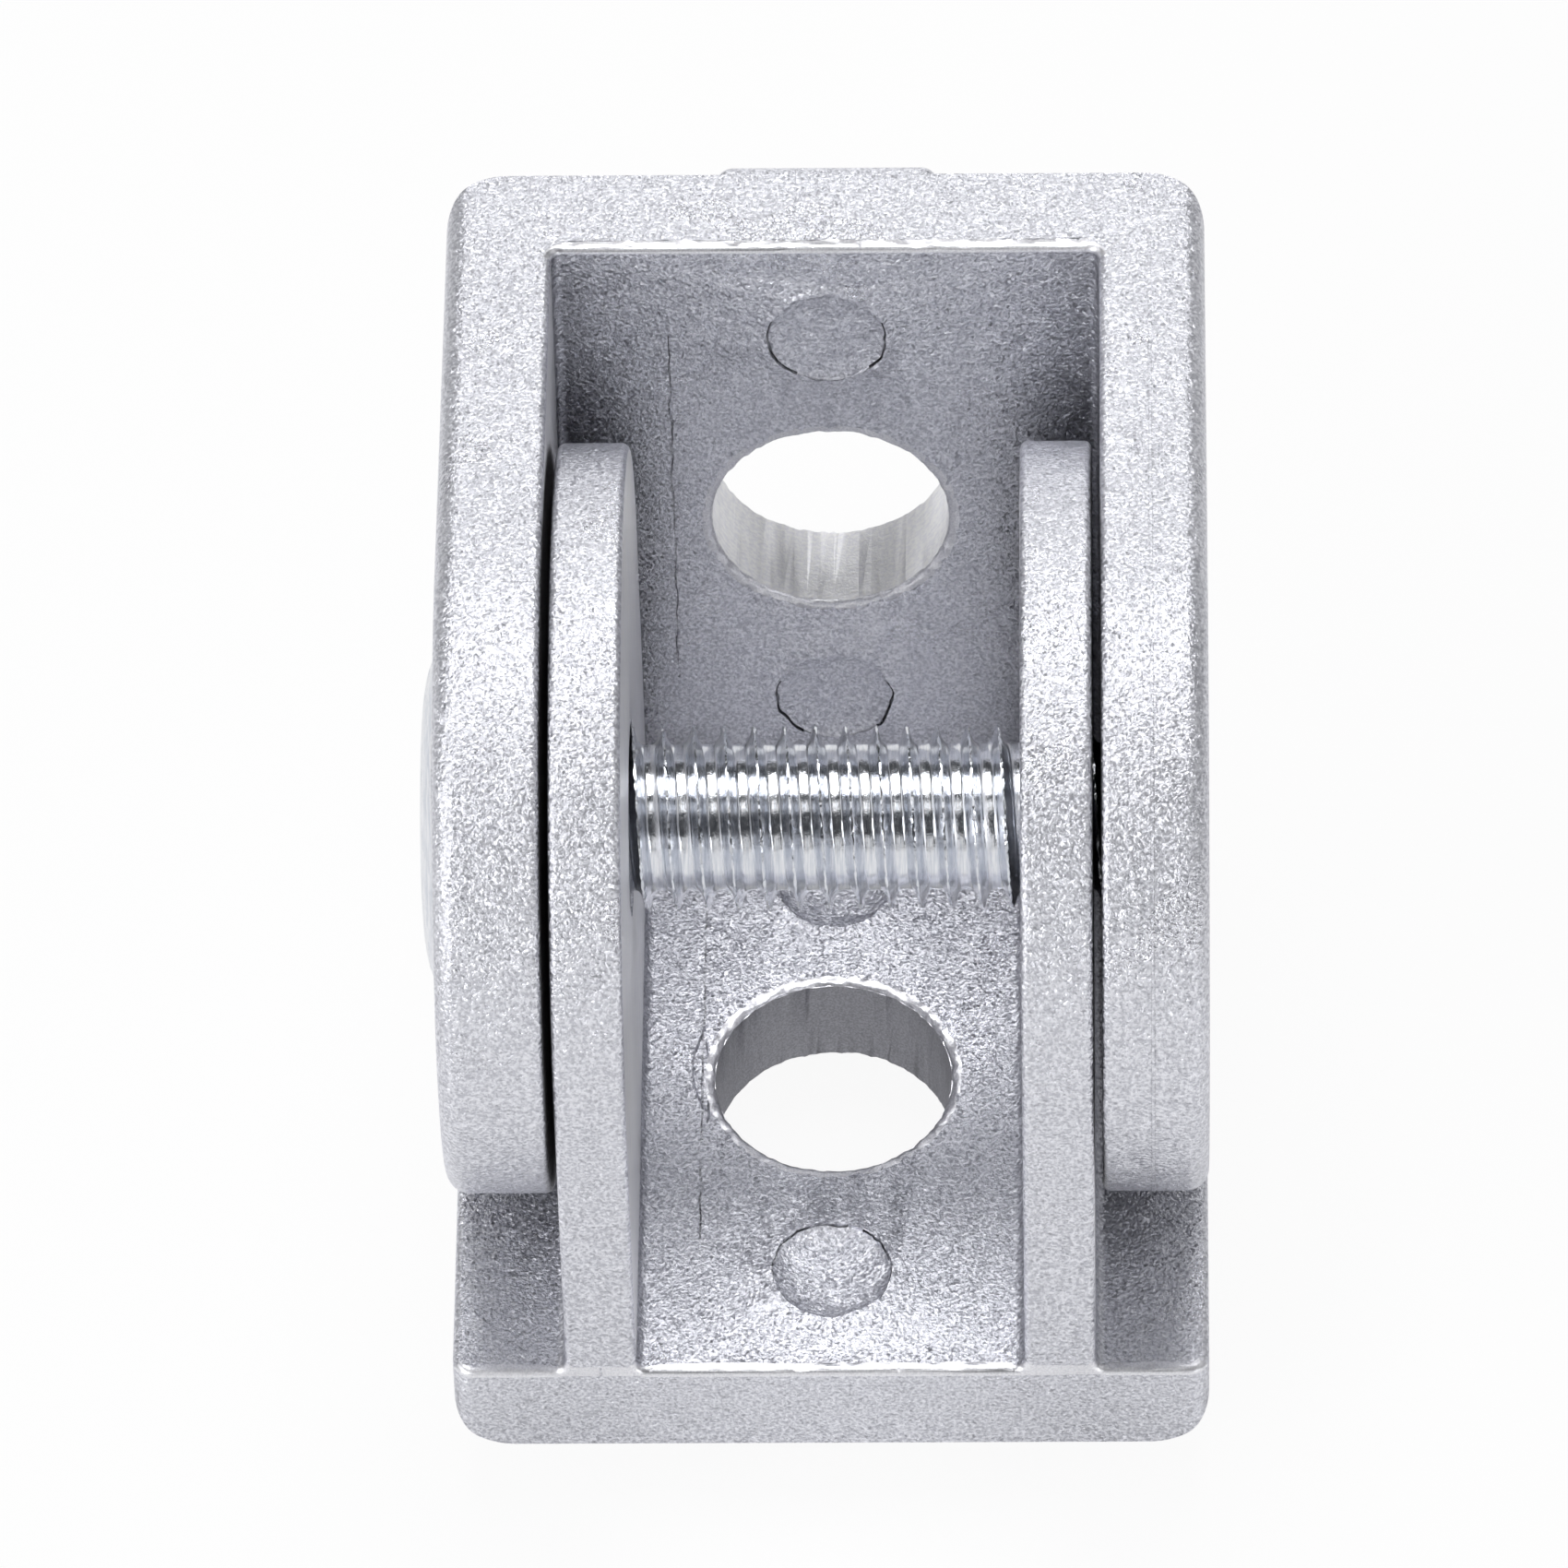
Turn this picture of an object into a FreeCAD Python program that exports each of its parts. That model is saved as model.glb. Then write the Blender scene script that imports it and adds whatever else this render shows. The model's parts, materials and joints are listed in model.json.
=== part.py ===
# Profile pivot joint: two forked halves that swing on one screw.
# Origin: centre of the inner clevis's bolt hole, on the face that meets the profile.
# +Z points from that face to the pivot and +X runs along the pivot axis. Units are millimetres.
import FreeCAD
import Part
import math
import os

V = FreeCAD.Vector
X_AXIS = V(1, 0, 0)
Z_AXIS = V(0, 0, 1)

# Both halves
profile_width = 20.0
base_depth = 20.0
pivot_height = 14.0
cheek_end_gap = 1.1
shoulder_radius = 1.6
inside_corner_radius = 0.3
edge_radius = 0.2
bolt_hole_radius = 3.17

# Outer clevis
outer_plate = 2.8
outer_cheek = 2.78
outer_rim_radius = 0.6

# Inner clevis
inner_plate = 3.05
inner_cheek = 1.87
side_gap = 0.22
inner_rim_radius = 0.55

# What is left between the halves when they are folded right up
fold_clearance = 0.05

# Locating lugs on each base, and the round marks that the ejector pins leave inside
lug_width = 5.9
lug_height = 1.8
lug_length = 3.2
lug_setback = 1.2
lug_edge_radius = 0.45
lug_root_depth = 0.5
lug_root_radius = 0.2
mark_radius = 1.7
mark_depth = 0.1
mark_offset = 6.7

# Pivot screw
thread_radius = 2.4
screw_length = 18.0
tip_chamfer = 0.45
thread_clearance = 0.05
screw_clearance = 0.2
head_radius = 4.5
head_height = 2.3
head_flat_radius = 2.65
head_crown = 0.7
head_seat_gap = 0.02
head_side_gap = 0.2
socket_width = 3.0
socket_depth = 1.4

# Sizes that follow from the ones above
half_width = profile_width / 2
half_depth = base_depth / 2
thicker_plate = max(outer_plate, inner_plate)
cheek_end_radius = pivot_height - thicker_plate - cheek_end_gap
slot_half = half_width - outer_cheek
tongue_half = slot_half - side_gap
tongue_slot_half = tongue_half - inner_cheek
seat_depth = head_height - head_crown
pivot = V(0, 0, pivot_height)
beyond = 2 * (profile_width + pivot_height)


def box_between(low, high):
    size = high - low
    return Part.makeBox(size.x, size.y, size.z, low)


def cylinder_along_x(radius, start, end):
    return Part.makeCylinder(radius, end - start, V(start, 0, pivot_height), X_AXIS)


def face_normal(face, point):
    u, v = face.Surface.parameter(point)
    return face.normalAt(u, v)


def is_sharp(shape, edge):
    """True where the two faces beside the edge meet at a clear angle."""
    faces = shape.ancestorsOfType(edge, Part.Face)
    if len(faces) < 2:
        return False
    middle = edge.valueAt((edge.FirstParameter + edge.LastParameter) / 2)
    normals = [face_normal(face, middle) for face in faces[:2]]
    return normals[0].getAngle(normals[1]) > math.radians(8)


def sharp_edges_above_base(shape):
    """What the slots leave sharp. The base's own edges lie on the die's parting plane and stay crisp."""
    return [edge for edge in shape.Edges if edge.BoundBox.ZMin > shoulder_radius and is_sharp(shape, edge)]


def edges_along_y(shape, x, z):
    """Straight edges that run from front to back at +x and -x, at height z."""
    found = []
    for edge in shape.Edges:
        box = edge.BoundBox
        along_y = box.XLength < 0.01 and box.ZLength < 0.01
        if along_y and abs(abs(box.XMin) - x) < 0.01 and abs(box.ZMin - z) < 0.01:
            found.append(edge)
    return found


def side_tangent():
    """Angle above the pivot's level at which a drafted side meets the round end."""
    corner_distance = math.hypot(half_depth, pivot_height)
    corner_angle = math.atan2(-pivot_height, half_depth)
    return corner_angle + math.acos(cheek_end_radius / corner_distance)


def folded_angle():
    """Angle between the two bases where one half's side comes up to the other's plate."""
    tangent = side_tangent()
    depth = pivot_height - thicker_plate
    plate_half = (cheek_end_radius + depth * math.sin(tangent)) / math.cos(tangent)
    reach = math.hypot(plate_half, depth)
    corner = math.atan2(plate_half, depth)
    side = math.pi / 2 + tangent - math.acos(cheek_end_radius / reach)
    return math.degrees(corner + side + math.asin(fold_clearance / reach))


def side_outline(overrun):
    """One half seen along the pivot: drafted sides that run into a round end.
    The sides run on below the base by the overrun."""
    tangent = side_tangent()
    y = cheek_end_radius * math.cos(tangent)
    z = pivot_height + cheek_end_radius * math.sin(tangent)
    foot = half_depth + (half_depth - y) * overrun / z
    top = V(0, 0, pivot_height + cheek_end_radius)
    edges = [
        Part.LineSegment(V(0, foot, -overrun), V(0, y, z)),
        Part.Arc(V(0, y, z), top, V(0, -y, z)),
        Part.LineSegment(V(0, -y, z), V(0, -foot, -overrun)),
        Part.LineSegment(V(0, -foot, -overrun), V(0, foot, -overrun)),
    ]
    return Part.Face(Part.Wire([edge.toShape() for edge in edges]))


def front_form():
    """One half's outline seen from the front, as a block: the profile's width with round shoulders."""
    top = pivot_height + 2 * cheek_end_radius
    block = box_between(V(-half_width, -beyond, 0), V(half_width, beyond, top))
    return block.makeFillet(shoulder_radius, edges_along_y(block, half_width, 0))


def rim_edges(shape):
    """Edges that run round the side outline on the two outer faces, down to the base."""
    found = []
    for edge in shape.Edges:
        box = edge.BoundBox
        if box.XLength < 0.01 and box.ZMax > 0 and is_sharp(shape, edge):
            found.append(edge)
    return found


def clevis_blank(rim_radius):
    """The solid casting that both halves share before their slots.
    The rims' rounding fades out at the shoulders, so that the base keeps crisp edges."""
    outline = side_outline(2 * rim_radius)
    outline.translate(V(-half_width, 0, 0))
    blank = outline.extrude(V(profile_width, 0, 0))
    blank = blank.makeFillet(rim_radius, rim_edges(blank))
    return blank.common(front_form())


def cut_slot(shape, slot, plate):
    """Opens the gap between the cheeks, down to the plate, with a small radius in its corners."""
    shape = shape.cut(box_between(V(-slot, -beyond, plate), V(slot, beyond, beyond)))
    return shape.makeFillet(inside_corner_radius, edges_along_y(shape, slot, plate))


def cut_flanks(shape, tongue, plate):
    """Takes the casting away beside the cheeks, so that they stand on the plate."""
    for side in (-1, 1):
        ends = sorted([side * tongue, side * beyond])
        shape = shape.cut(box_between(V(ends[0], -beyond, plate), V(ends[1], beyond, beyond)))
    return shape.makeFillet(inside_corner_radius, edges_along_y(shape, tongue, plate))


def locating_lug(side):
    """A key that sits in the profile's groove, rounded on the face that goes in first."""
    outer_end = side * (half_depth - lug_setback)
    inner_end = outer_end - side * lug_length
    ends = sorted([inner_end, outer_end])
    low = V(-lug_width / 2, ends[0], -lug_height)
    high = V(lug_width / 2, ends[1], lug_root_depth)
    lug = box_between(low, high)
    rounded = [edge for edge in lug.Edges if edge.BoundBox.ZMin < 0]
    return lug.makeFillet(lug_edge_radius, rounded)


def lug_root_edges(shape):
    """Edges where the lugs rise from the base's outer face."""
    found = []
    for edge in shape.Edges:
        box = edge.BoundBox
        on_base = abs(box.ZMin) < 0.01 and box.ZLength < 0.01
        beside_lug = max(-box.XMin, box.XMax) < lug_width / 2 + 0.01
        if on_base and beside_lug and is_sharp(shape, edge):
            found.append(edge)
    return found


def finish_base(shape, plate):
    """Adds the lugs, the bolt hole and the two ejector marks."""
    for side in (-1, 1):
        shape = shape.fuse(locating_lug(side))
    shape = shape.makeFillet(lug_root_radius, lug_root_edges(shape))
    for side in (-1, 1):
        mark = Part.makeCylinder(mark_radius, plate, V(0, side * mark_offset, plate - mark_depth))
        shape = shape.cut(mark)
    bolt_hole = Part.makeCylinder(bolt_hole_radius, beyond, V(0, 0, -beyond / 2))
    return shape.cut(bolt_hole)


def outer_clevis():
    body = cut_slot(clevis_blank(outer_rim_radius), slot_half, outer_plate)
    body = body.makeFillet(edge_radius, sharp_edges_above_base(body))
    body = finish_base(body, outer_plate)
    clear_radius = thread_radius + screw_clearance
    body = body.cut(cylinder_along_x(clear_radius, -beyond, 0))
    body = body.cut(cylinder_along_x(thread_radius + thread_clearance, 0, beyond))
    body = body.cut(cylinder_along_x(head_radius + head_side_gap, -beyond, seat_depth - half_width))
    body.rotate(pivot, X_AXIS, folded_angle())
    return body


def inner_clevis():
    body = cut_flanks(clevis_blank(inner_rim_radius), tongue_half, inner_plate)
    body = cut_slot(body, tongue_slot_half, inner_plate)
    body = body.makeFillet(edge_radius, sharp_edges_above_base(body))
    body = finish_base(body, inner_plate)
    clear_radius = thread_radius + screw_clearance
    return body.cut(cylinder_along_x(clear_radius, -beyond, beyond))


def screw_outline():
    """Half of the screw's lengthwise section, with x along the screw and y as the radius."""
    head_top = -half_width - head_crown
    crown_start = head_top + head_crown
    seat = head_top + head_height - head_seat_gap
    tip = seat + screw_length
    crown_middle = V(head_top + 0.29 * head_crown, head_flat_radius + 0.66 * (head_radius - head_flat_radius), 0)
    edges = [
        Part.LineSegment(V(head_top, 0, 0), V(head_top, head_flat_radius, 0)),
        Part.Arc(V(head_top, head_flat_radius, 0), crown_middle, V(crown_start, head_radius, 0)),
        Part.LineSegment(V(crown_start, head_radius, 0), V(seat, head_radius, 0)),
        Part.LineSegment(V(seat, head_radius, 0), V(seat, thread_radius, 0)),
        Part.LineSegment(V(seat, thread_radius, 0), V(tip - tip_chamfer, thread_radius, 0)),
        Part.LineSegment(V(tip - tip_chamfer, thread_radius, 0), V(tip, thread_radius - tip_chamfer, 0)),
        Part.LineSegment(V(tip, thread_radius - tip_chamfer, 0), V(tip, 0, 0)),
        Part.LineSegment(V(tip, 0, 0), V(head_top, 0, 0)),
    ]
    return Part.Face(Part.Wire([edge.toShape() for edge in edges]))


def hex_socket():
    corner = socket_width / math.sqrt(3)
    head_top = -half_width - head_crown
    points = []
    for step in range(7):
        angle = math.radians(60 * step)
        points.append(V(head_top, corner * math.cos(angle), corner * math.sin(angle)))
    return Part.Face(Part.makePolygon(points)).extrude(V(socket_depth, 0, 0))


def pivot_screw():
    screw = screw_outline().revolve(V(0, 0, 0), X_AXIS, 360)
    screw = screw.cut(hex_socket())
    screw.translate(pivot)
    return screw


pieces = {
    "outer_clevis": outer_clevis(),
    "inner_clevis": inner_clevis(),
    "pivot_screw": pivot_screw(),
}

os.makedirs("parts", exist_ok=True)
for name, piece in pieces.items():
    piece.exportStep("parts/" + name + ".step")
    print(name, len(piece.Solids), piece.isValid(), round(piece.Volume, 2))
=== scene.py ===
import bpy
import json
import math
from mathutils import Matrix, Quaternion, Vector

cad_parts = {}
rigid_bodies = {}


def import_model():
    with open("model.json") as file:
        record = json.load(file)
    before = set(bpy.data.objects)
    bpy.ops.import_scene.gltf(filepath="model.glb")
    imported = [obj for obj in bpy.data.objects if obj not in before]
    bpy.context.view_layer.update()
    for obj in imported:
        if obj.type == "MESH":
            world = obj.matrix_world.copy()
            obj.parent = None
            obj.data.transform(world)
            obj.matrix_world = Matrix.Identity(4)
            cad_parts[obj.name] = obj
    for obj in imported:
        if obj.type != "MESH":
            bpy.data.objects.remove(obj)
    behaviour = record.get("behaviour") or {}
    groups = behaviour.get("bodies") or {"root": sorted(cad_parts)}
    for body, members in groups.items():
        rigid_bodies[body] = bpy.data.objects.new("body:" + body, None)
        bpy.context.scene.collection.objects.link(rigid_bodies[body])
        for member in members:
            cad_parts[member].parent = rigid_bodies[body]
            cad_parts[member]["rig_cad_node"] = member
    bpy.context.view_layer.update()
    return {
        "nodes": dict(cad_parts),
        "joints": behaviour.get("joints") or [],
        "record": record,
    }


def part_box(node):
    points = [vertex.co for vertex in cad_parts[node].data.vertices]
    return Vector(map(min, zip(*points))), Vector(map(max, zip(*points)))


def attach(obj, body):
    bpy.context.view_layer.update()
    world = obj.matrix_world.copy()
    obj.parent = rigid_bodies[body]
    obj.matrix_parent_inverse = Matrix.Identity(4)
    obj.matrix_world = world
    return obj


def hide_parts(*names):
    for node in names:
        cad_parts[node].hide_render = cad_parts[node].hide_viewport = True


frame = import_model()
mm = 0.001
weldReach = 0.001 * mm  # vertices closer than this are one
cutReach = 0.0001 * mm
print("frame loaded")


# helpers for modelling and finishing

def deselectAll():
    bpy.ops.object.select_all(action="DESELECT")


def makeActive(piece):
    deselectAll()
    piece.select_set(True)
    bpy.context.view_layer.objects.active = piece


def editAll(piece):
    makeActive(piece)
    bpy.ops.object.mode_set(mode="EDIT")
    bpy.ops.mesh.select_all(action="SELECT")


def leaveEdit():
    bpy.ops.object.mode_set(mode="OBJECT")


def shift(piece, step):
    editAll(piece)
    bpy.ops.transform.translate(value=step)
    leaveEdit()


def cleanUp(piece):
    editAll(piece)
    bpy.ops.mesh.remove_doubles(threshold=weldReach)
    bpy.ops.mesh.normals_make_consistent(inside=False)
    leaveEdit()


def applyModifier(piece, kind, **settings):
    makeActive(piece)
    modifier = piece.modifiers.new(kind.lower(), kind)
    for name, value in settings.items():
        setattr(modifier, name, value)
    bpy.ops.object.modifier_apply(modifier=modifier.name)


def combine(piece, tool, operation):
    # adds or cuts with a tool, which is used up
    for item in (piece, tool):
        editAll(item)
        bpy.ops.mesh.quads_convert_to_tris()
        leaveEdit()
    applyModifier(piece, "BOOLEAN", object=tool, operation=operation, solver="EXACT")
    bpy.data.objects.remove(tool)


def pickVertices(piece, test):
    # selects the vertices that pass the test and goes into edit mode
    makeActive(piece)
    for item in [*piece.data.vertices, *piece.data.edges, *piece.data.polygons]:
        item.select = False
    for vertex in piece.data.vertices:
        vertex.select = test(vertex.co)
    bpy.ops.object.mode_set(mode="EDIT")
    bpy.ops.mesh.select_mode(type="VERT")


def roughen(piece, test, amount, seed):
    pickVertices(piece, test)
    bpy.ops.transform.vertex_random(offset=amount, uniform=1, normal=0, seed=seed)
    leaveEdit()


def wander(piece, size, amount):
    # lets a piece drift as torn metal does, always in the same way
    clouds = bpy.data.textures.new(piece.name + "Clouds", "CLOUDS")
    clouds.noise_scale = size
    clouds.cloud_type = "COLOR"
    applyModifier(piece, "DISPLACE", texture=clouds, texture_coords="LOCAL", direction="RGB_TO_XYZ",
                  mid_level=0.5, strength=amount)


def drawLine(name, points):
    # one vertex, extruded from point to point
    bpy.ops.mesh.primitive_plane_add(size=mm, location=(0, 0, 0))
    piece = bpy.context.object
    piece.name = name
    editAll(piece)
    bpy.ops.mesh.merge(type="CENTER")
    bpy.ops.transform.translate(value=points[0])
    for start, end in zip(points, points[1:]):
        bpy.ops.mesh.extrude_vertices_move(TRANSFORM_OT_translate={"value": Vector(end) - Vector(start)})
    leaveEdit()
    return piece


def turnRound(piece, axis, steps, pitch=0.0, turns=1):
    # sweeps the drawn line round an axis, as a ring or as a helix
    applyModifier(piece, "SCREW", axis=axis, angle=2 * math.pi, steps=steps, render_steps=steps,
                  screw_offset=pitch, iterations=turns, use_merge_vertices=False, use_smooth_shade=False)
    cleanUp(piece)


def quarterArc(steps):
    # angles from 0 to 90 degrees
    return [math.radians(90 * step / steps) for step in range(steps + 1)]


def smooth(piece, degrees):
    makeActive(piece)
    bpy.ops.object.shade_smooth_by_angle(angle=math.radians(degrees))


# camera at the photograph's angle, on the joint's own height

cameraSettings = {
    "place": Vector((7.6575, -269.968, 343.222)) * mm,
    "lookAt": Vector((-1.116, 0.658, 14.572)) * mm,
    "roll": -1.694,
    "lens": 372.12,
    "sensor": 36,
    "clip": (0.01, 20),
}


def addCamera():
    bpy.ops.object.camera_add(location=cameraSettings["place"])
    camera = bpy.context.object
    camera.name = "photoCamera"
    aim = cameraSettings["lookAt"] - cameraSettings["place"]
    roll = Quaternion((0, 0, 1), math.radians(cameraSettings["roll"]))
    camera.rotation_mode = "QUATERNION"
    camera.rotation_quaternion = aim.to_track_quat("-Z", "Y") @ roll
    camera.data.lens = cameraSettings["lens"]
    camera.data.sensor_width = cameraSettings["sensor"]
    camera.data.clip_start, camera.data.clip_end = cameraSettings["clip"]
    bpy.context.scene.camera = camera


addCamera()
bpy.context.scene.view_settings.view_transform = "Standard"
print("camera placed")


# materials are built from small node steps

def newMaterial(name):
    material = bpy.data.materials.new(name)
    material.use_nodes = True
    return material, material.node_tree.nodes["Principled BSDF"]


def addNode(material, kind, inputs=None, **settings):
    node = material.node_tree.nodes.new(kind)
    for name, value in settings.items():
        setattr(node, name, value)
    for name, value in (inputs or {}).items():
        node.inputs[name].default_value = value
    return node


def join(material, source, target):
    material.node_tree.links.new(source, target)


def addNoise(material, size, detail, roughness, stretch=(1, 1, 1)):
    # a noise whose lumps are about the given size, in metres
    place = addNode(material, "ShaderNodeTexCoord")
    mapping = addNode(material, "ShaderNodeMapping", {"Scale": stretch})
    grain = addNode(material, "ShaderNodeTexNoise",
                    {"Scale": 1 / size, "Detail": detail, "Roughness": roughness})
    join(material, place.outputs["Object"], mapping.inputs["Vector"])
    join(material, mapping.outputs["Vector"], grain.inputs["Vector"])
    return grain.outputs["Fac"]


def addRange(material, source, low, high, toLow, toHigh):
    remap = addNode(material, "ShaderNodeMapRange",
                    {"From Min": low, "From Max": high, "To Min": toLow, "To Max": toHigh})
    join(material, source, remap.inputs["Value"])
    return remap.outputs["Result"]


def addBump(material, height, distance, before=None):
    bump = addNode(material, "ShaderNodeBump", {"Strength": 1.0, "Distance": distance})
    join(material, height, bump.inputs["Height"])
    if before is not None:
        join(material, before, bump.inputs["Normal"])
    return bump.outputs["Normal"]


def addBlend(material, share, first, second):
    mix = addNode(material, "ShaderNodeMix", data_type="RGBA")
    mix.inputs["A"].default_value = first
    mix.inputs["B"].default_value = second
    join(material, share, mix.inputs["Factor"])
    return mix.outputs["Result"]


castZinc = {
    "facets": 0.085 * mm,
    "facetTilt": 2.5,
    "waves": 0.9 * mm,
    "wavesHeight": 0.02 * mm,
    "patches": 3.0 * mm,
    "grainDetail": (3, 0.55),  # octaves and roughness
    "wavesDetail": (2, 0.5),
    "grainContrast": (0.40, 0.60),
    "patchContrast": (0.35, 0.65),
    # painted shade in narrow gaps: its dark colour, its samples and the openness where it starts to clear
    "creviceShadeColour": (0.05, 0.05, 0.06, 1),
    "creviceShadeSamples": 4,
    "creviceShadeFrom": 0.1,
}

# the shades lie at the bottom and the top of the grain, and the painted crevice shade clears at the given
# openness
zincFinishes = {
    "blastedZinc": {
        "shades": ((0.62, 0.625, 0.68, 1), (0.94, 0.945, 1.0, 1)),
        "grain": 0.095 * mm,
        "height": 0.05 * mm,
        "stretch": (1, 1, 1),
        "roughness": (0.27, 0.33),
        "facets": True,
        "creviceShadeReach": 0.5 * mm,
        "creviceShadeClear": 0.55,
    },
    "smoothZinc": {
        "shades": ((0.80, 0.80, 0.84, 1), (0.97, 0.97, 1.0, 1)),
        "grain": 0.06 * mm,
        "height": 0.006 * mm,
        "stretch": (1, 1, 1),
        "roughness": (0.32, 0.42),
        "facets": False,
        "creviceShadeReach": 0.5 * mm,
        "creviceShadeClear": 0.55,
    },
    "draggedZinc": {
        "shades": ((0.90, 0.90, 0.94, 1), (1.0, 1.0, 1.0, 1)),
        "grain": 0.10 * mm,
        "height": 0.010 * mm,
        "stretch": (1, 1, 0.05),
        "roughness": (0.40, 0.55),
        "facets": False,
        "creviceShadeReach": 0.5 * mm,
        "creviceShadeClear": 0.55,
    },
}
# the outer half's zinc paints a deeper shade, reaching 3 mm, which darkens its recess towards the corners
zincFinishes["paintedShadeZinc"] = {**zincFinishes["blastedZinc"], "creviceShadeReach": 3.0 * mm, "creviceShadeClear": 0.85}
# a darker copy of the smooth zinc: painted shade for the inner half's bolt-hole wall
zincFinishes["paintedShadeBoreZinc"] = {
    **zincFinishes["smoothZinc"],
    "shades": ((0.42, 0.42, 0.45, 1), (0.58, 0.58, 0.62, 1)),
}


def addPaintedCreviceShade(material, shader, colour, finish):
    # painted shade in the narrow gaps: an ambient occlusion node darkens the colour there
    shade = addNode(material, "ShaderNodeAmbientOcclusion", {"Distance": finish["creviceShadeReach"]},
                    samples=castZinc["creviceShadeSamples"])
    clear = addRange(material, shade.outputs["AO"], castZinc["creviceShadeFrom"], finish["creviceShadeClear"], 0, 1)
    mix = addNode(material, "ShaderNodeMix", data_type="RGBA")
    mix.inputs["A"].default_value = castZinc["creviceShadeColour"]
    join(material, clear, mix.inputs["Factor"])
    join(material, colour, mix.inputs["B"])
    join(material, mix.outputs["Result"], shader.inputs["Base Color"])


def addFacets(material, normal):
    # blasting leaves small facets, most nearly level and a few tilted well over
    place = addNode(material, "ShaderNodeTexCoord")
    mapping = addNode(material, "ShaderNodeMapping")
    cells = addNode(material, "ShaderNodeTexVoronoi", {"Scale": 1 / castZinc["facets"]})
    centred = addNode(material, "ShaderNodeVectorMath", operation="SUBTRACT")
    centred.inputs[1].default_value = (0.5, 0.5, 0.5)
    squared = addNode(material, "ShaderNodeVectorMath", operation="MULTIPLY")
    cubed = addNode(material, "ShaderNodeVectorMath", operation="MULTIPLY")
    tilted = addNode(material, "ShaderNodeVectorMath", {"Scale": castZinc["facetTilt"]}, operation="SCALE")
    turned = addNode(material, "ShaderNodeVectorMath", operation="ADD")
    unit = addNode(material, "ShaderNodeVectorMath", operation="NORMALIZE")
    join(material, place.outputs["Object"], mapping.inputs["Vector"])
    join(material, mapping.outputs["Vector"], cells.inputs["Vector"])
    join(material, cells.outputs["Color"], centred.inputs[0])
    join(material, centred.outputs[0], squared.inputs[0])
    join(material, centred.outputs[0], squared.inputs[1])
    join(material, squared.outputs[0], cubed.inputs[0])
    join(material, centred.outputs[0], cubed.inputs[1])
    join(material, cubed.outputs[0], tilted.inputs[0])
    join(material, normal, turned.inputs[0])
    join(material, tilted.outputs[0], turned.inputs[1])
    join(material, turned.outputs[0], unit.inputs[0])
    return unit.outputs[0]


def makeZinc(name):
    finish = zincFinishes[name]
    material, shader = newMaterial(name)
    shader.inputs["Metallic"].default_value = 1.0
    grain = addNoise(material, finish["grain"], *castZinc["grainDetail"], finish["stretch"])
    waves = addNoise(material, castZinc["waves"], *castZinc["wavesDetail"])
    patches = addNoise(material, castZinc["patches"], *castZinc["wavesDetail"])
    waved = addBump(material, waves, castZinc["wavesHeight"])
    normal = addBump(material, grain, finish["height"], waved)
    if finish["facets"]:
        normal = addFacets(material, normal)
    bright = addRange(material, grain, *castZinc["grainContrast"], 0, 1)
    # the colour is darkened by painted shade in the narrow gaps
    addPaintedCreviceShade(material, shader, addBlend(material, bright, *finish["shades"]), finish)
    rough = addRange(material, patches, *castZinc["patchContrast"], *finish["roughness"])
    join(material, rough, shader.inputs["Roughness"])
    join(material, normal, shader.inputs["Normal"])
    return material


platedSteel = {
    "bright": (0.90, 0.91, 0.94, 1),
    "streaked": (0.70, 0.73, 0.79, 1),
    "streaks": 0.05 * mm,
    "streakStretch": (1, 0.06, 0.06),
    "streakHeight": 0.003 * mm,
    "pits": 0.12 * mm,
    "pitHeight": 0.006 * mm,
    "detail": (3, 0.6),  # octaves and roughness
    "streakContrast": (0.4, 0.65),
    "pitContrast": (0.35, 0.65),
    "roughness": (0.10, 0.26),
}


def makePlatedSteel():
    material, shader = newMaterial("platedSteel")
    shader.inputs["Metallic"].default_value = 1.0
    streaks = addNoise(material, platedSteel["streaks"], *platedSteel["detail"], platedSteel["streakStretch"])
    pits = addNoise(material, platedSteel["pits"], *platedSteel["detail"])
    pitted = addBump(material, pits, platedSteel["pitHeight"])
    streaked = addBump(material, streaks, platedSteel["streakHeight"], pitted)
    worn = addRange(material, streaks, *platedSteel["streakContrast"], 0, 1)
    colour = addBlend(material, worn, platedSteel["bright"], platedSteel["streaked"])
    rough = addRange(material, pits, *platedSteel["pitContrast"], *platedSteel["roughness"])
    join(material, colour, shader.inputs["Base Color"])
    join(material, rough, shader.inputs["Roughness"])
    join(material, streaked, shader.inputs["Normal"])
    return material


blastedZinc = makeZinc("blastedZinc")
paintedShadeZinc = makeZinc("paintedShadeZinc")
smoothZinc = makeZinc("smoothZinc")
paintedShadeBoreZinc = makeZinc("paintedShadeBoreZinc")
draggedZinc = makeZinc("draggedZinc")
steelMaterial = makePlatedSteel()
print("materials made")


# where things are on the joint, from the frame

screwLow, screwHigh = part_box("pivot_screw")
innerLow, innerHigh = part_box("inner_clevis")
foldJoint = next(joint for joint in frame["joints"] if joint["name"] == "fold")
pivot = Vector(foldJoint["pos_m"])


# pivot screw: a rolled thread under a low domed head with a hex socket

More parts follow.
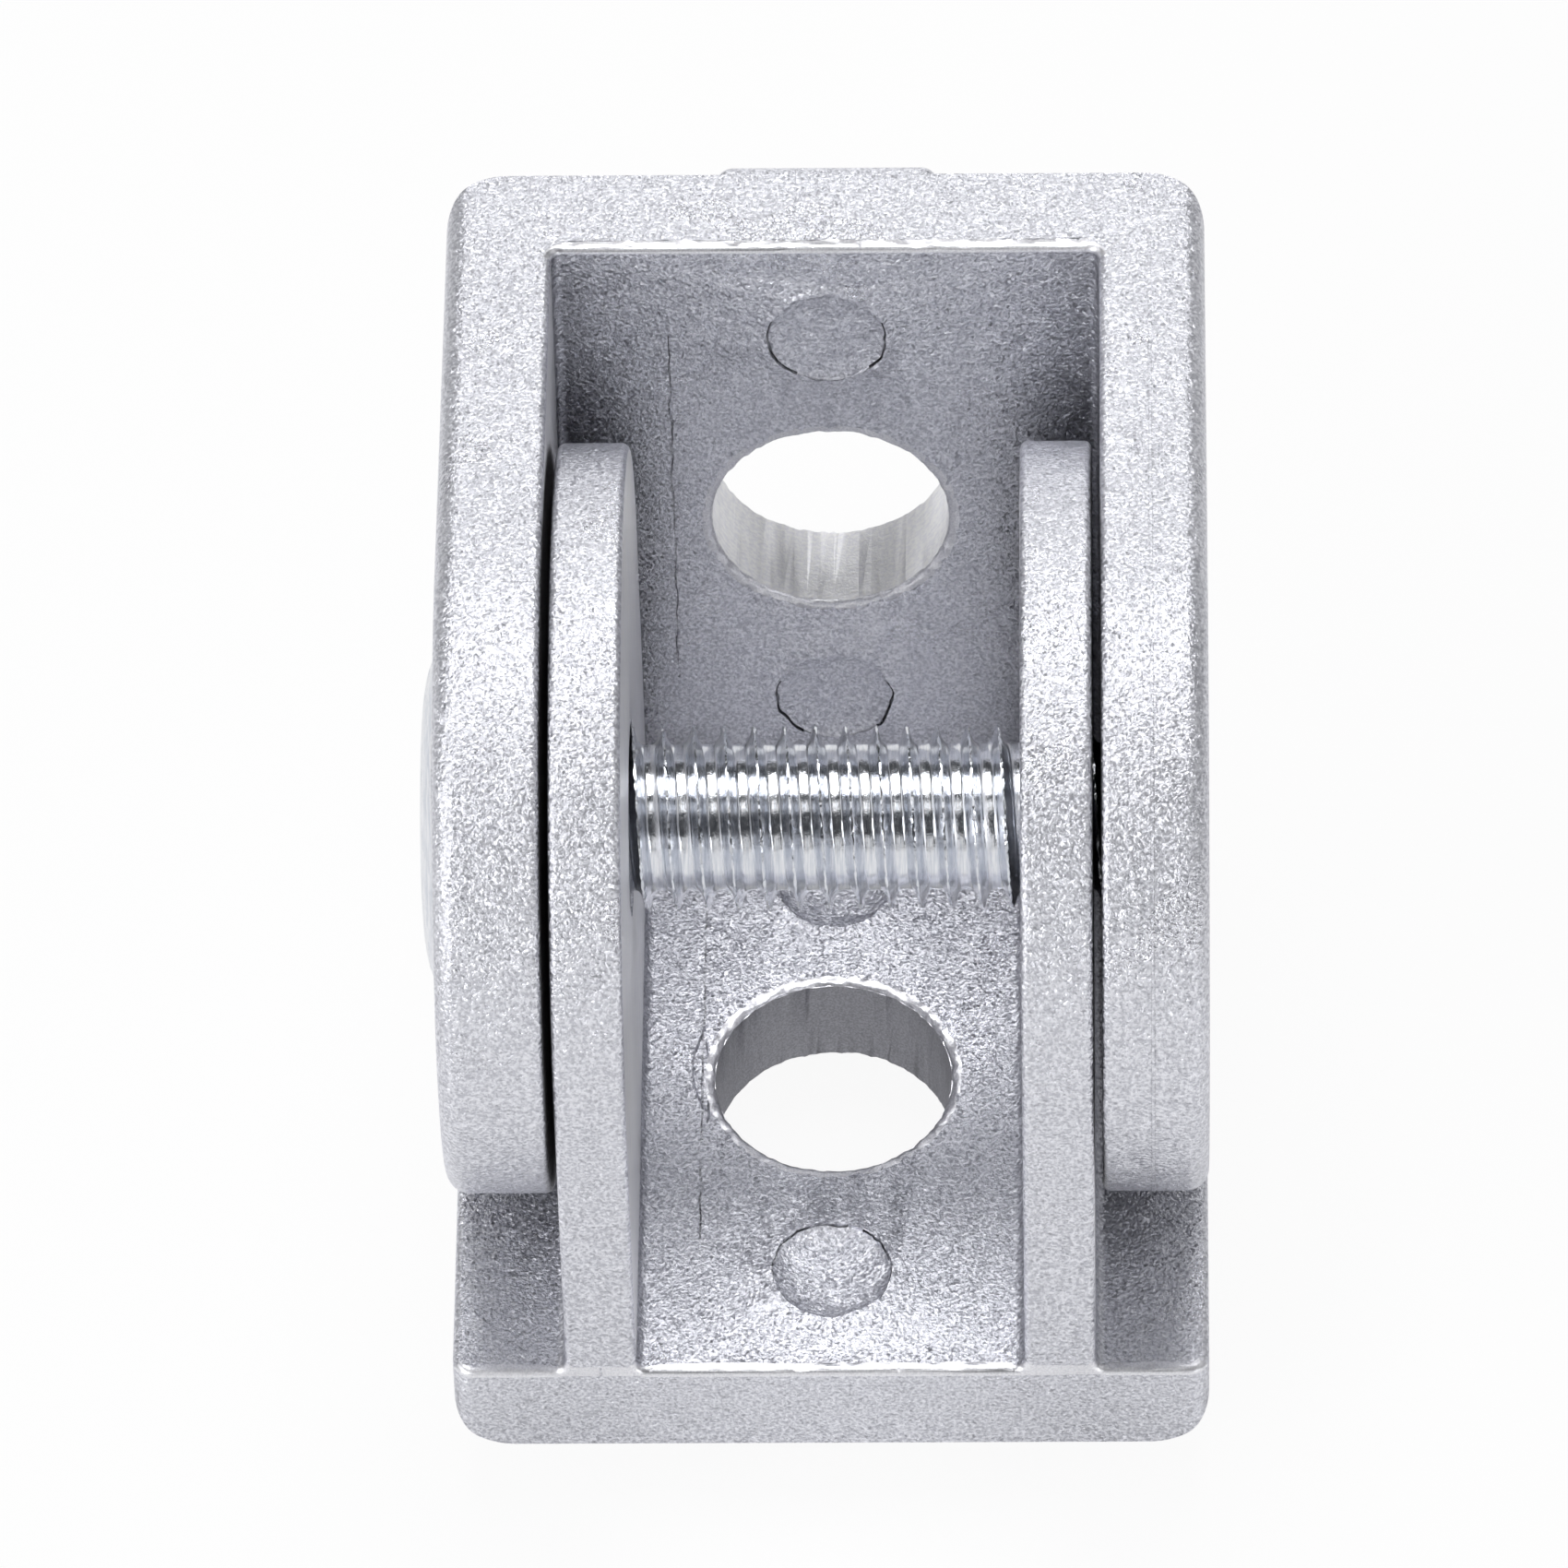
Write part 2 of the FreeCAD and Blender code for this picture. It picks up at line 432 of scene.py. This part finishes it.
pivotScrew = {
    "pitch": 0.8 * mm,
    "crestRadius": 2.4 * mm,
    "rootRadius": 1.92 * mm,
    "crestWidth": 0.05 * mm,
    "flankHollow": 2.1,
    "rootFlat": 0.22 * mm,
    "flankSteps": 6,
    "turnSteps": 120,
    "spareTurns": 4,
    "crestBand": 0.02 * mm,
    "crestWear": 0.02 * mm,
    "wearSeed": 4,
    "frontCrest": -0.104 * mm,  # a crest stands here, frontAngle degrees from the top towards the front
    "frontAngle": 39,
    "headInset": 0.15 * mm,
    "headHeight": 2.13 * mm,
    "headCrown": 0.55 * mm,
    "headFlat": 2.65 * mm,
    "domeSteps": 8,
    "headSteps": 96,
    "headEdge": 0.12 * mm,
    "tipChamfer": 0.45 * mm,
    "socketWidth": 3.0 * mm,
    "socketDepth": 1.25 * mm,
    "smoothAngle": 32,
}


def threadOutline():
    # one pitch, from root over crest to root, hollow on both flanks
    size = pivotScrew
    half = size["pitch"] / 2
    depth = size["crestRadius"] - size["rootRadius"]
    flankEnd = half - size["rootFlat"] / 2
    side = []
    for step in range(size["flankSteps"] + 1):
        share = step / size["flankSteps"]
        reach = size["crestWidth"] / 2 + share * (flankEnd - size["crestWidth"] / 2)
        side.append((reach, size["rootRadius"] + depth * (1 - share) ** size["flankHollow"]))
    side.append((half, size["rootRadius"]))
    left = [(-reach, radius) for reach, radius in reversed(side)]
    return [(x, 0, radius) for x, radius in left + side]


def makeThread(start, end):
    size = pivotScrew
    turns = math.ceil((end - start) / size["pitch"]) + size["spareTurns"]
    piece = drawLine("thread", threadOutline())
    turnRound(piece, "X", size["turnSteps"], size["pitch"], turns)
    crestFoot = size["crestRadius"] - size["crestBand"]
    roughen(piece, lambda place: math.hypot(place.y, place.z) > crestFoot, size["crestWear"],
            size["wearSeed"])
    first = start - size["spareTurns"] / 2 * size["pitch"]
    topCrest = size["frontCrest"] - size["pitch"] * size["frontAngle"] / 360
    editAll(piece)
    bpy.ops.transform.translate(value=(first + (topCrest - first) % size["pitch"], 0, 0))
    bpy.ops.mesh.bisect(plane_co=(start, 0, 0), plane_no=(1, 0, 0), use_fill=True, clear_inner=True,
                        threshold=cutReach)
    bpy.ops.mesh.select_all(action="SELECT")
    bpy.ops.mesh.bisect(plane_co=(end, 0, 0), plane_no=(1, 0, 0), use_fill=True, clear_outer=True,
                        threshold=cutReach)
    leaveEdit()
    cleanUp(piece)
    return piece


def makeTipForm(start, end):
    # the plain rod with its chamfered tip that the thread is rolled on
    size = pivotScrew
    radius = size["crestRadius"]
    beyond = start - size["pitch"]
    outline = [(beyond, 0, 0), (beyond, 0, radius), (end - size["tipChamfer"], 0, radius),
               (end, 0, radius - size["tipChamfer"]), (end, 0, 0)]
    piece = drawLine("tipForm", outline)
    turnRound(piece, "X", size["headSteps"])
    return piece


def makeHead(top):
    size = pivotScrew
    radius = (screwHigh.y - screwLow.y) / 2
    seat = top + size["headHeight"]
    rise = radius - size["headFlat"]
    dome = []
    for angle in quarterArc(size["domeSteps"]):
        along = size["headCrown"] * (1 - math.cos(angle))
        dome.append((top + along, 0, size["headFlat"] + rise * math.sin(angle)))
    edge = size["headEdge"]
    outline = [(top, 0, 0)] + dome + [(seat - edge, 0, radius), (seat, 0, radius - edge), (seat, 0, 0)]
    piece = drawLine("head", outline)
    turnRound(piece, "X", size["headSteps"])
    bpy.ops.mesh.primitive_cylinder_add(vertices=6, radius=size["socketWidth"] / math.sqrt(3),
                                        depth=2 * size["socketDepth"], location=(top, 0, 0),
                                        rotation=(0, math.radians(90), 0))
    combine(piece, bpy.context.object, "DIFFERENCE")
    return piece


def makePivotScrew():
    top = screwLow.x + pivotScrew["headInset"]
    seat = top + pivotScrew["headHeight"]
    tip = screwHigh.x
    piece = makeThread(seat - pivotScrew["pitch"], tip)
    combine(piece, makeTipForm(seat - pivotScrew["pitch"], tip), "INTERSECT")
    combine(piece, makeHead(top), "UNION")
    shift(piece, pivot)
    piece.name = "pivotScrew"
    cleanUp(piece)
    smooth(piece, pivotScrew["smoothAngle"])
    piece.data.materials.clear()
    piece.data.materials.append(steelMaterial)
    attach(piece, "screw")
    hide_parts("pivot_screw")


makePivotScrew()
print("pivot screw made")


# the two cast halves, each worked on in its own frame before it is turned into place

castDetails = {
    "flatAngle": 0.5,
    "markRadius": 1.56 * mm,
    "markSteps": 72,
    "moundRoot": 0.3 * mm,
    "moundEdge": 0.03 * mm,
    "moundSkirt": 0.38 * mm,
    "lipWidth": 0.12 * mm,
    "lipHeight": 0.05 * mm,
    "dishReach": 0.3 * mm,
    "dishSteps": 12,
    "grooveDepth": 0.08 * mm,
    "grooveWidth": 0.04 * mm,
    "grooveReach": 0.2 * mm,
    "grooveTurn": 5,
    "tearSize": 0.6 * mm,
    "tearReach": 0.22 * mm,
    "mouthWidth": 0.28 * mm,
    "mouthDepth": 0.12 * mm,
    "mouthReach": 0.2 * mm,
    "mouthSteps": 144,
    "mouthTearSize": 0.25 * mm,
    "mouthTearReach": 0.12 * mm,
    "roundingSteps": 6,
    "edgeSetback": 0.03 * mm,
    "edgeReach": 0.3 * mm,
    "edgeOverrun": 0.5 * mm,
    "edgeStep": 0.3 * mm,
    "ridgeWidth": 0.09 * mm,
    "ridgeNarrowing": 0.5,
    "ridgeStep": 0.25 * mm,
    "ridgeDrift": 0.15 * mm,
    "flashWidth": 0.07 * mm,
    "flashRoot": 0.4 * mm,
    "flashFoot": 0.03 * mm,
    "flashSteps": 32,
}

# how far each finish reaches, and how the castings are shaded
castPaint = {
    "holeInset": 0.15 * mm,
    "edgeDepth": 0.3 * mm,
    "edgeWidth": 0.36 * mm,
    "sideInset": 0.1 * mm,
    "sideNormal": 0.99,
    "smoothAngle": 35,
    "normalWeight": 60,
}

# in millimetres, across and along the plate from the bolt hole's middle
# wear is how far a plate's edge is rubbed off along its face and down its side
# cracks run from angle to angle round their mark
halves = {
    "innerClevis": {
        "node": "inner_clevis",
        "body": "inner_half",
        "zinc": blastedZinc,
        "mount": "inner_bolt_hole",
        # its bolt-hole wall takes the darker zinc with painted shade
        "hole": paintedShadeBoreZinc,
        "worn": [(-9.9, -7.35), (-4.8, 4.8), (7.35, 9.9)],
        "wear": (0.30, 0.10),
        "flashAt": -6.1,
        "flashHeight": 0.015,
        "scratches": [
            {"from": (-3.5, 6.5), "to": (-3.5, -5.5), "bulge": 0.0, "height": 0.10},
        ],
        "marks": [
            {"at": -6.6, "dish": 0.32, "cracks": [(-35, 60), (75, 205), (235, 262)]},
            {"at": 6.7, "dish": 0.30, "cracks": [(200, 340)]},
        ],
        "ridges": [
            {"from": (-3.42, 1.7), "to": (-3.42, -1.2), "bulge": -0.34, "height": 0.10},
            {"from": (-3.40, 1.2), "to": (-3.36, -1.6), "bulge": 0.05, "height": 0.08},
        ],
    },
    "outerClevis": {
        "node": "outer_clevis",
        "body": "outer_half",
        "zinc": paintedShadeZinc,
        "mount": "outer_bolt_hole",
        "hole": draggedZinc,
        "worn": [(-6.9, 6.9)],
        "wear": (0.10, 0.32),
        "flashAt": 8.5,
        "flashHeight": 0.03,
        "scratches": [
            {"from": (-4.2, 6.8), "to": (-4.2, -6.0), "bulge": 0.0, "height": 0.08},
        ],
        "marks": [
            {"at": -6.7, "dish": 0.14, "cracks": [(155, 238), (-45, 20)]},
            {"at": 6.7, "dish": 0.14, "cracks": [(155, 238), (-45, 20)]},
        ],
        "ridges": [],
    },
}


def mountNamed(name):
    return next(mount for mount in frame["record"]["mounts"] if mount["name"] == name)


def placeOf(mount):
    # from a half's own frame, base down, to where it stands in the joint
    axis = Vector(mount["axis"])
    turn = Matrix.Rotation(math.atan2(axis.y, -axis.z), 4, "X")
    return Matrix.Translation(pivot) @ turn @ Matrix.Translation(-pivot)


def putInPlace(piece, place):
    piece.matrix_world = place
    makeActive(piece)
    bpy.ops.object.transform_apply(location=True, rotation=True, scale=True)


def copyCasting(name, node, place):
    piece = frame["nodes"][node].copy()
    piece.data = piece.data.copy()
    piece.name = name
    piece.parent = None
    del piece["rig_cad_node"]
    bpy.context.scene.collection.objects.link(piece)
    makeActive(piece)
    bpy.ops.mesh.customdata_custom_splitnormals_clear()
    putInPlace(piece, place.inverted())
    editAll(piece)
    bpy.ops.mesh.remove_doubles(threshold=weldReach)
    bpy.ops.mesh.dissolve_limited(angle_limit=math.radians(castDetails["flatAngle"]))
    leaveEdit()
    return piece


def mouthTool(radius, level, way):
    # the ring that is worn off round a bolt hole's mouth
    size = castDetails
    width = size["mouthWidth"]
    depth = size["mouthDepth"]
    clear = size["mouthReach"]
    outline = [(radius + width, 0, level + way * clear)]
    for angle in quarterArc(size["roundingSteps"]):
        across = radius + width * (1 - math.sin(angle))
        outline.append((across, 0, level - way * depth * (1 - math.cos(angle))))
    outline += [(radius - clear, 0, level - way * depth), (radius - clear, 0, level + way * clear)]
    tool = drawLine("mouthTool", outline + outline[:1])
    turnRound(tool, "Z", size["mouthSteps"])
    wander(tool, size["mouthTearSize"], size["mouthTearReach"])
    return tool


def roundTool(name, outline, centre, reach):
    # a round piece over an ejector mark that wanders a little
    tool = drawLine(name, outline)
    turnRound(tool, "Z", castDetails["markSteps"])
    shift(tool, centre)
    wander(tool, castDetails["tearSize"], reach)
    return tool


def grooveTool(centre, start, end):
    # an arc of the crack round a mark, closed at both ends
    size = castDetails
    radius = size["markRadius"]
    half = size["grooveWidth"] / 2
    foot = -size["grooveDepth"]
    top = size["grooveReach"]
    outline = [(radius - half, foot), (radius + half, foot), (radius + 2 * half, top),
               (radius - 2 * half, top)]
    across = Vector((math.cos(math.radians(start)), math.sin(math.radians(start)), 0))
    tool = drawLine("grooveTool", [across * reach + Vector((0, 0, height)) for reach, height in outline])
    editAll(tool)
    bpy.ops.mesh.edge_face_add()
    bpy.ops.mesh.spin(steps=round((end - start) / size["grooveTurn"]), angle=math.radians(start - end),
                      center=(0, 0, 0), axis=(0, 0, 1))
    leaveEdit()
    shift(tool, centre)
    cleanUp(tool)
    wander(tool, size["tearSize"], size["tearReach"])
    return tool


def addEjectorMark(piece, centre, mark):
    # a mound fills the solid's plain recess and makes the lip, and a hollow is pressed into it
    size = castDetails
    radius = size["markRadius"]
    skirt = radius + size["moundSkirt"]
    root = -size["moundRoot"]
    edge = size["lipHeight"]
    mound = [(0, 0, root), (skirt, 0, root), (skirt, 0, -size["moundEdge"]),
             (radius + size["lipWidth"], 0, edge), (0, 0, edge)]
    dish = [(0, 0, size["dishReach"]), (radius, 0, size["dishReach"]), (radius, 0, 0)]
    for angle in quarterArc(size["dishSteps"])[1:]:
        dish.append((radius * math.cos(angle), 0, -mark["dish"] * mm * math.sin(angle)))
    combine(piece, roundTool("moundTool", mound, centre, size["tearReach"]), "UNION")
    combine(piece, roundTool("dishTool", dish, centre, size["tearReach"] / 2), "DIFFERENCE")
    for start, end in mark["cracks"]:
        combine(piece, grooveTool(centre, start, end), "DIFFERENCE")


def edgeTool(level, side, start, end, wear):
    # what is rubbed off a plate's front or back edge between two places across the plate
    size = castDetails
    width, depth = [reach * mm for reach in wear]
    foot = innerHigh.y - size["edgeSetback"] - width
    beyond = foot + width + size["edgeOverrun"]
    outline = [(foot, size["edgeReach"])]
    for angle in quarterArc(size["roundingSteps"]):
        outline.append((foot + width * math.sin(angle), -depth * (1 - math.cos(angle))))
    outline += [(beyond, -depth), (beyond, size["edgeReach"])]
    tool = drawLine("edgeTool", [(start * mm, side * y, level + z) for y, z in outline])
    editAll(tool)
    bpy.ops.mesh.edge_face_add()
    steps = round((end - start) * mm / size["edgeStep"])
    move = {"value": ((end - start) * mm / steps, 0, 0)}
    for step in range(steps):
        bpy.ops.mesh.extrude_region_move(TRANSFORM_OT_translate=move)
    leaveEdit()
    cleanUp(tool)
    wander(tool, size["mouthTearSize"], size["mouthTearReach"])
    return tool


def ridgeTool(ridge, level):
    # a three-sided strip, extruded step by step along the plate
    size = castDetails
    start, end = [Vector((x * mm, y * mm, level)) for x, y in (ridge["from"], ridge["to"])]
    steps = round((end - start).length / size["ridgeStep"])
    bpy.ops.mesh.primitive_circle_add(vertices=3, radius=size["ridgeWidth"], fill_type="NGON",
                                      location=start, rotation=(math.radians(90), 0, 0))
    tool = bpy.context.object
    tool.name = "ridgeTool"
    tool.scale = (size["ridgeNarrowing"], ridge["height"] * mm / size["ridgeWidth"], 1)
    bpy.ops.object.transform_apply(location=True, rotation=True, scale=True)
    editAll(tool)
    before = start
    for step in range(1, steps + 1):
        share = step / steps
        after = start.lerp(end, share)
        after.x += ridge["bulge"] * mm * math.sin(math.pi * share)
        bpy.ops.mesh.extrude_region_move(TRANSFORM_OT_translate={"value": after - before})
        before = after
    leaveEdit()
    cleanUp(tool)
    wander(tool, size["tearSize"], size["ridgeDrift"])
    return tool


def flashTool(half):
    # the thin fin that the die's parting line leaves right round a half's side outline
    size = castDetails
    radius = innerHigh.z - pivot.z + half["flashHeight"] * mm
    foot = Vector((0, innerHigh.y, size["flashFoot"]))
    rise = pivot.z - foot.z
    tangent = math.acos(radius / math.hypot(foot.y, rise)) - math.atan2(rise, foot.y)
    outline = [foot]
    for step in range(size["flashSteps"] + 1):
        angle = tangent + (math.pi - 2 * tangent) * step / size["flashSteps"]
        outline.append(Vector((0, radius * math.cos(angle), pivot.z + radius * math.sin(angle))))
    outline += [Vector((0, -foot.y, foot.z)), foot]
    across = Vector((half["flashAt"] * mm, 0, 0))
    tool = drawLine("flashTool", [point + across for point in outline])
    cleanUp(tool)
    editAll(tool)
    bpy.ops.mesh.edge_face_add()
    bpy.ops.mesh.inset(thickness=size["flashRoot"])
    bpy.ops.mesh.delete(type="FACE")
    bpy.ops.mesh.select_all(action="SELECT")
    bpy.ops.mesh.extrude_region_move(TRANSFORM_OT_translate={"value": (size["flashWidth"], 0, 0)})
    leaveEdit()
    cleanUp(tool)
    return tool


def cutDetails(piece, half, radius, plate):
    combine(piece, flashTool(half), "UNION")
    for start, end in half["worn"]:
        for side in (-1, 1):
            combine(piece, edgeTool(plate, side, start, end, half["wear"]), "DIFFERENCE")
    for ridge in half["ridges"]:
        combine(piece, ridgeTool(ridge, plate), "UNION")
    for scratch in half["scratches"]:
        combine(piece, ridgeTool(scratch, plate), "DIFFERENCE")
    for mark in half["marks"]:
        addEjectorMark(piece, Vector((0, mark["at"] * mm, plate)), mark)
    combine(piece, mouthTool(radius, plate, 1), "DIFFERENCE")
    combine(piece, mouthTool(radius, 0, -1), "DIFFERENCE")


def paintFaces(piece, material, test):
    piece.data.materials.append(material)
    index = len(piece.data.materials) - 1
    for face in piece.data.polygons:
        if test(face):
            face.material_index = index


def paintHalf(piece, half, radius, plate):
    size = castPaint

    def inMouth(face):
        return math.hypot(face.center.x, face.center.y) < radius + castDetails["mouthWidth"]

    def inHole(face):
        return inMouth(face) and size["holeInset"] < face.center.z < plate - size["holeInset"]

    def onEdge(face):
        nearTop = abs(face.center.z - plate) < size["edgeDepth"]
        return nearTop and abs(face.center.y) > innerHigh.y - size["edgeWidth"]

    def onSide(face):
        inside = face.center.z > plate and abs(face.center.x) < innerHigh.x - size["sideInset"]
        return inside and abs(face.normal.x) > size["sideNormal"]

    piece.data.materials.clear()
    paintFaces(piece, half["zinc"], lambda face: True)
    paintFaces(piece, smoothZinc, lambda face: inMouth(face) or onEdge(face))
    paintFaces(piece, half["hole"], inHole)
    paintFaces(piece, draggedZinc, onSide)


def makeHalf(name, half):
    mount = mountNamed(half["mount"])
    place = placeOf(mount)
    radius = mount["dims"]["r_mm"] * mm
    plate = mount["dims"]["length_mm"] * mm
    piece = copyCasting(name, half["node"], place)
    cutDetails(piece, half, radius, plate)
    paintHalf(piece, half, radius, plate)
    putInPlace(piece, place)
    smooth(piece, castPaint["smoothAngle"])
    applyModifier(piece, "WEIGHTED_NORMAL", keep_sharp=True, weight=castPaint["normalWeight"])
    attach(piece, half["body"])
    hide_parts(half["node"])
    print(name, "has", len(piece.data.polygons), "faces")


for name, half in halves.items():
    makeHalf(name, half)
print("castings made")


# floor and studio light

studio = {
    "floorSize": 6.0,
    "floorColour": (0.9, 0.9, 0.9, 1),
    "floorRoughness": 0.9,
    "floorWhite": 0.93,
    "floorInMetal": 0.105,
    "worldColour": (0.90, 0.93, 1.0, 1),
    "worldStrength": 0.06,
}

# places and sizes in millimetres, light as the brightness of the lamp's own face
lampTable = {
    "overheadSoftbox": {"place": (0, 104, 400), "size": (165, 215), "light": 6.6},
    "overheadFront": {"place": (0, -156, 382), "size": (164, 105), "light": 1.2},
    "leftPanel": {"place": (-279, -306, 190), "size": (225, 200), "light": 5.4},
    "rightPanel": {"place": (275, -350, 62), "size": (225, 120), "light": 3.0},
    "frontPanel": {"place": (0, -394, 83), "size": (164, 140), "light": 0.65},
    "leftOverhead": {"place": (-300, -60, 280), "size": (300, 300), "light": 1.25},
    "rightOverhead": {"place": (300, -60, 280), "size": (300, 300), "light": 0.65},
    "backPanel": {"place": (0, 386, 118), "size": (300, 210), "light": 1.55},
    "leftBack": {"place": (-300, 300, 120), "size": (300, 250), "light": 0.3},
    "rightBack": {"place": (300, 300, 120), "size": (300, 250), "light": 0.4},
}


def addFloor():
    # white to the camera, dimmer in the metal, and plain paper to the shadows
    bpy.ops.mesh.primitive_plane_add(size=studio["floorSize"], location=(0, 0, innerLow.z))
    floor = bpy.context.object
    floor.name = "floor"
    makeActive(floor)
    bpy.ops.object.transform_apply(location=True, rotation=True, scale=True)
    material, shader = newMaterial("whitePaper")
    shader.inputs["Base Color"].default_value = studio["floorColour"]
    shader.inputs["Roughness"].default_value = studio["floorRoughness"]
    output = material.node_tree.nodes["Material Output"]
    glow = addNode(material, "ShaderNodeEmission", {"Strength": 1.0})
    mix = addNode(material, "ShaderNodeMixShader")
    path = addNode(material, "ShaderNodeLightPath")
    mirrored = addNode(material, "ShaderNodeMath", operation="MAXIMUM")
    share = addNode(material, "ShaderNodeMath", operation="MULTIPLY")
    share.inputs[1].default_value = studio["floorInMetal"]
    seen = addNode(material, "ShaderNodeMath", operation="MULTIPLY")
    seen.inputs[1].default_value = studio["floorWhite"]
    both = addNode(material, "ShaderNodeMath", operation="MAXIMUM")
    join(material, path.outputs["Is Glossy Ray"], mirrored.inputs[0])
    join(material, path.outputs["Is Transmission Ray"], mirrored.inputs[1])
    join(material, mirrored.outputs[0], share.inputs[0])
    join(material, path.outputs["Is Camera Ray"], seen.inputs[0])
    join(material, share.outputs[0], both.inputs[0])
    join(material, seen.outputs[0], both.inputs[1])
    join(material, both.outputs[0], mix.inputs["Fac"])
    join(material, shader.outputs["BSDF"], mix.inputs[1])
    join(material, glow.outputs["Emission"], mix.inputs[2])
    join(material, mix.outputs["Shader"], output.inputs["Surface"])
    floor.data.materials.append(material)


def addWorld():
    world = bpy.data.worlds.new("studioWorld")
    bpy.context.scene.world = world
    world.use_nodes = True
    background = world.node_tree.nodes["Background"]
    background.inputs["Color"].default_value = studio["worldColour"]
    background.inputs["Strength"].default_value = studio["worldStrength"]


def addLamps():
    for name, lamp in lampTable.items():
        bpy.ops.object.light_add(type="AREA", location=Vector(lamp["place"]) * mm)
        light = bpy.context.object
        light.name = name
        light.data.shape = "RECTANGLE"
        light.data.size = lamp["size"][0] * mm
        light.data.size_y = lamp["size"][1] * mm
        light.data.energy = lamp["light"] * math.pi * light.data.size * light.data.size_y
        light.rotation_euler = (pivot - light.location).to_track_quat("-Z", "Y").to_euler()


addFloor()
addWorld()
addLamps()
print("studio lit")
